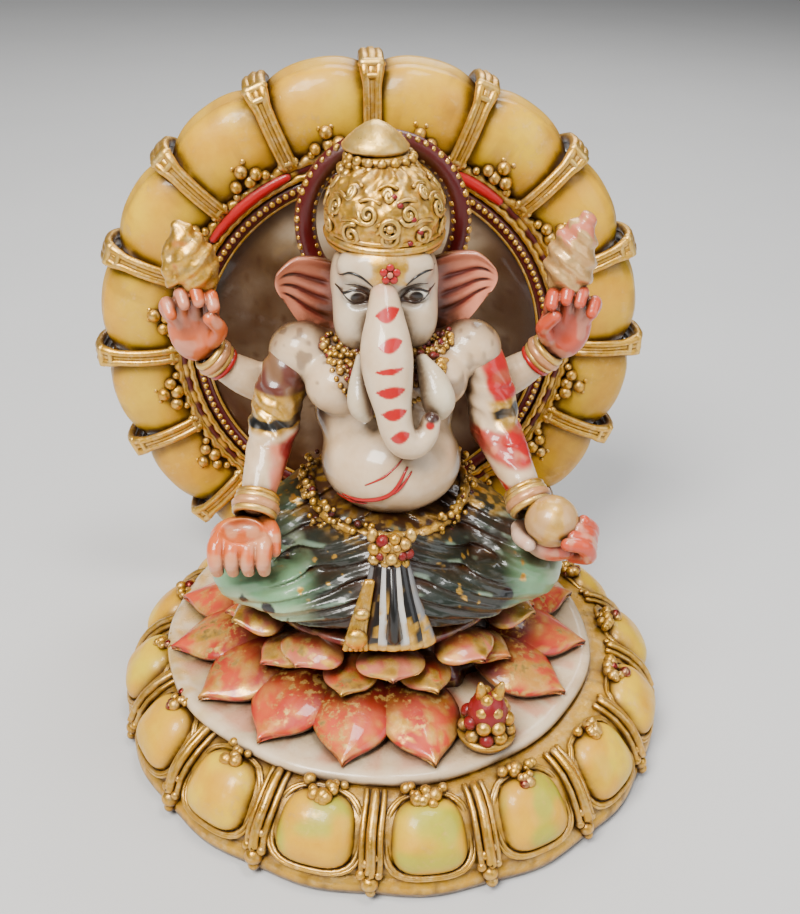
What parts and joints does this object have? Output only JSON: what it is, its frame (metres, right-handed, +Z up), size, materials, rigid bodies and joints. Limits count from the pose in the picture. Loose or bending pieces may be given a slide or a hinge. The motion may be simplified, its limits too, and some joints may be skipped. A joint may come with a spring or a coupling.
{
  "type": "ganesha idol",
  "caption": "Seated elephant-headed devotional figure on a lotus plate, with a round lobed base and a round lobed backrest, cast and hand painted, standing free on a flat pad",
  "frame": {"origin": "on the figure's own vertical axis, at table level on the underside of the felt pad", "axes": "+Z up, the figure faces -Y, +X is the figure's left"},
  "size_m": [0.0962, 0.0924, 0.0976],
  "materials": {
    "axe_head": "metallic gold paint over resin",
    "backrest_dish": "satin paint, aged",
    "backrest_flowers": "metallic gold paint over resin",
    "backrest_lobes": "satin enamel",
    "backrest_ribs": "metallic gold paint over resin",
    "base_cushions": "gloss enamel",
    "base_flowers": "metallic gold paint over resin",
    "base_frames": "metallic gold paint over resin",
    "base_knobs": "metallic gold paint over resin",
    "base_plinth": "satin gold paint over resin",
    "base_ribs": "metallic gold paint over resin",
    "belt": "metallic gold paint over resin",
    "belt_buckle": "metallic gold paint over resin",
    "crossed_legs": "satin paint",
    "crown_arch": "metallic gold paint over resin",
    "crown_band": "metallic gold paint over resin",
    "crown_cap": "metallic gold paint over resin",
    "crown_dome": "metallic gold paint over resin",
    "crown_tiers": "metallic gold paint over resin",
    "felt_pad": "short pile felt",
    "front_left_arm": "satin paint",
    "front_left_bracelet": "metallic gold paint over resin",
    "front_left_hand": "satin paint",
    "front_pleats": "satin paint",
    "front_right_arm": "satin paint",
    "front_right_bracelet": "metallic gold paint over resin",
    "front_right_hand": "satin paint",
    "head": "satin paint",
    "held_sweet": "metallic gold paint over resin",
    "hoop_beads": "metallic gold paint over resin",
    "inner_hoop": "metallic gold paint over resin",
    "left_ear": "gloss enamel",
    "left_tusk": "satin paint",
    "lotus_bud": "metallic gold paint over resin",
    "lotus_core": "satin paint",
    "lotus_plate": "gloss enamel",
    "lotus_seat": "satin paint",
    "lower_petals": "satin paint",
    "middle_petals": "satin paint",
    "necklace": "metallic gold paint over resin",
    "offering_dish": "metallic gold paint over resin",
    "offering_sweets": "metallic gold paint over resin",
    "outer_hoop": "metallic gold paint",
    "rear_left_arm": "satin paint",
    "rear_left_bracelet": "metallic gold paint over resin",
    "rear_left_hand": "satin paint",
    "rear_right_arm": "satin paint",
    "rear_right_bracelet": "metallic gold paint over resin",
    "rear_right_hand": "satin paint",
    "right_ear": "gloss enamel",
    "right_tusk": "satin paint",
    "sash_tassel": "metallic gold paint over resin",
    "torso": "satin paint",
    "trunk": "satin paint",
    "upper_petals": "satin paint"
  },
  "bodies": {
    "root": {"axe_head": "axe_head", "backrest_dish": "backrest_dish", "backrest_flowers": "backrest_flowers", "backrest_lobes": "backrest_lobes", "backrest_ribs": "backrest_ribs", "base_cushions": "base_cushions", "base_flowers": "base_flowers", "base_frames": "base_frames", "base_knobs": "base_knobs", "base_plinth": "base_plinth", "base_ribs": "base_ribs", "belt": "belt", "belt_buckle": "belt_buckle", "crossed_legs": "crossed_legs", "crown_arch": "crown_arch", "crown_band": "crown_band", "crown_cap": "crown_cap", "crown_dome": "crown_dome", "crown_tiers": "crown_tiers", "felt_pad": "felt_pad", "front_left_arm": "front_left_arm", "front_left_bracelet": "front_left_bracelet", "front_left_hand": "front_left_hand", "front_pleats": "front_pleats", "front_right_arm": "front_right_arm", "front_right_bracelet": "front_right_bracelet", "front_right_hand": "front_right_hand", "head": "head", "held_sweet": "held_sweet", "hoop_beads": "hoop_beads", "inner_hoop": "inner_hoop", "left_ear": "left_ear", "left_tusk": "left_tusk", "lotus_bud": "lotus_bud", "lotus_core": "lotus_core", "lotus_plate": "lotus_plate", "lotus_seat": "lotus_seat", "lower_petals": "lower_petals", "middle_petals": "middle_petals", "necklace": "necklace", "offering_dish": "offering_dish", "offering_sweets": "offering_sweets", "outer_hoop": "outer_hoop", "rear_left_arm": "rear_left_arm", "rear_left_bracelet": "rear_left_bracelet", "rear_left_hand": "rear_left_hand", "rear_right_arm": "rear_right_arm", "rear_right_bracelet": "rear_right_bracelet", "rear_right_hand": "rear_right_hand", "right_ear": "right_ear", "right_tusk": "right_tusk", "sash_tassel": "sash_tassel", "torso": "torso", "trunk": "trunk", "upper_petals": "upper_petals"}
  },
  "joints": []
}
